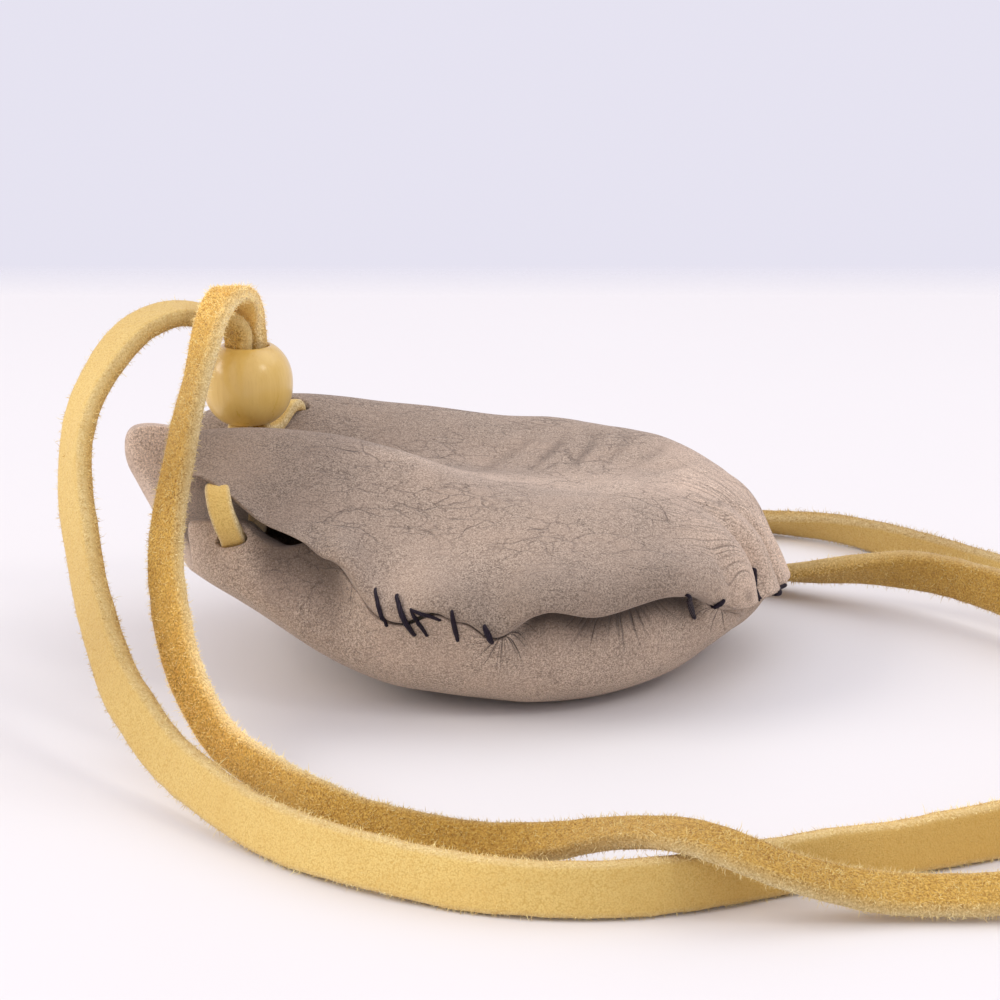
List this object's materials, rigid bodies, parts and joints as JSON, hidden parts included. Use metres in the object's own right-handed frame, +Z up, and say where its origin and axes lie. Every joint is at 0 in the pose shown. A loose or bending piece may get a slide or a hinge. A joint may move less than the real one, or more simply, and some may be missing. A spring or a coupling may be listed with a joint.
{
  "type": "leather medicine pouch on a lace",
  "caption": "Small puffed leather pouch with a whip-stitched edge, a wooden slide bead that draws its neck closed, and a flat lace to wear it round the neck.",
  "frame": {"origin": "on the flat patch of the belly that touches the table, below the middle of the pouch", "axes": "+X from the mouth to the rounded bottom end, +Z up, away from the table, +Y away from the picture's viewer"},
  "size_m": [0.1202, 0.1214, 0.0388],
  "materials": {
    "nubuck": "matte taupe nubuck with a fine grain",
    "deerskin": "soft yellow deerskin, smooth on one side and fuzzy on the other",
    "bead_wood": "satin honey wood",
    "thread": "dark waxed thread"
  },
  "bodies": {
    "root": {"pouch_upper": "nubuck", "pouch_lower": "nubuck", "bead": "bead_wood", "draw_lace": "deerskin", "neck_lace_outer": "deerskin", "neck_lace_inner": "deerskin", "lace_knot": "deerskin"}
  },
  "joints": []
}
